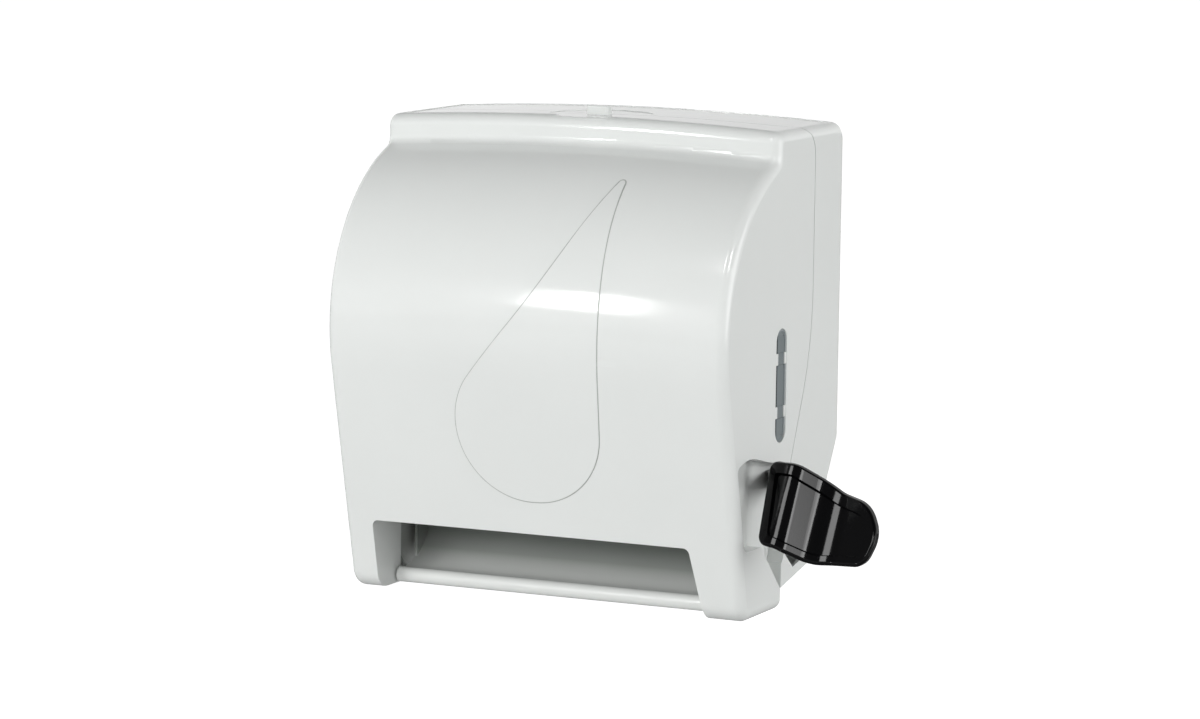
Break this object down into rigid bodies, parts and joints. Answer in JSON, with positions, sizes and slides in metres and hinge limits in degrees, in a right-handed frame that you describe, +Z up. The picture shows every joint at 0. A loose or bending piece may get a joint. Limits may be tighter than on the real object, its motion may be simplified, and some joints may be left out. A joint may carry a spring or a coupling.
{
  "type": "lever paper towel dispenser",
  "caption": "Wall-mounted paper towel dispenser with a hinged moulded cover, level window, side press lever, geared feed roller and tear bar.",
  "frame": {"origin": "centre of the four wall screws, on the flat back face that lies on the wall", "axes": "+X along the width towards the lever, -Y to the front, +Z up"},
  "size_m": [0.4304, 0.2285, 0.374],
  "materials": {
    "case": "white moulded ABS, gloss",
    "lens": "smoked clear plastic",
    "lever": "black gloss ABS",
    "frame": "white moulded acetal",
    "steel": "bright steel",
    "gear": "natural acetal",
    "rubber": "soft grip rubber"
  },
  "bodies": {
    "chassis": {"arm_bracket": "frame", "arm_pin": "steel", "back_body": "case", "drive_bushes": "gear", "gear_cover": "frame", "hinge_pins": "steel", "paper_chute": "case", "roll_arm_right": "frame", "side_plate_left": "frame", "side_plate_right": "frame", "tear_bar": "steel", "tear_bar_beam": "frame"},
    "cover": {"front_cover": "case", "window_lens": "lens", "latch_housing": "frame", "latch_spring": "steel"},
    "latch": {"latch_button": "case"},
    "lever": {"lever_handle": "lever", "lever_shaft": "steel", "sector_gear": "gear"},
    "drive_roller": {"drive_shaft": "steel", "drive_core": "frame", "drive_sleeves": "rubber", "pinion_gear": "gear"},
    "pressure_roller": {"pressure_shaft": "steel", "pressure_sleeves": "rubber"},
    "left_arm": {"roll_arm_left": "frame"},
    "left_hub": {"roll_hub_left": "frame"},
    "right_hub": {"roll_hub_right": "frame"}
  },
  "joints": [
    {"name": "cover_hinge", "type": "hinge", "parent": "chassis", "child": "cover", "pos_m": [0, -0.122, -0.171], "axis": [1, 0, 0], "range_deg": [0, 95]},
    {"name": "latch_press", "type": "slide", "parent": "cover", "child": "latch", "axis": [0, 0, 1], "range_m": [-0.0045, 0], "stiffness_N_per_m": 900, "springref_m": 0.001, "deforming": ["latch_spring"]},
    {"name": "lever_press", "type": "hinge", "parent": "chassis", "child": "lever", "pos_m": [0, -0.095, -0.082], "axis": [1, 0, 0], "range_deg": [0, 40], "stiffness_Nm_per_rad": 0.25, "springref_deg": -20.05},
    {"name": "drive_turn", "type": "hinge", "parent": "chassis", "child": "drive_roller", "pos_m": [0, -0.12807, -0.10267], "axis": [1, 0, 0], "range_deg": [-205, 5]},
    {"name": "pressure_turn", "type": "hinge", "parent": "chassis", "child": "pressure_roller", "pos_m": [0, -0.10653, -0.10844], "axis": [1, 0, 0], "range_deg": [-5, 355]},
    {"name": "arm_swing", "type": "hinge", "parent": "chassis", "child": "left_arm", "pos_m": [-0.1403, -0.013, 0.04], "axis": [0, 0, 1], "range_deg": [-8, 0], "stiffness_Nm_per_rad": 1.2, "springref_deg": 5.73},
    {"name": "left_hub_turn", "type": "hinge", "parent": "left_arm", "child": "left_hub", "pos_m": [-0.13, -0.113, 0.04], "axis": [1, 0, 0], "continuous": true},
    {"name": "right_hub_turn", "type": "hinge", "parent": "chassis", "child": "right_hub", "pos_m": [0.11, -0.113, 0.04], "axis": [1, 0, 0], "continuous": true}
  ],
  "couplings": [
    {"joint": "drive_turn", "follows": "lever_press", "ratio": -5},
    {"joint": "pressure_turn", "follows": "lever_press", "ratio": 8.75}
  ]
}
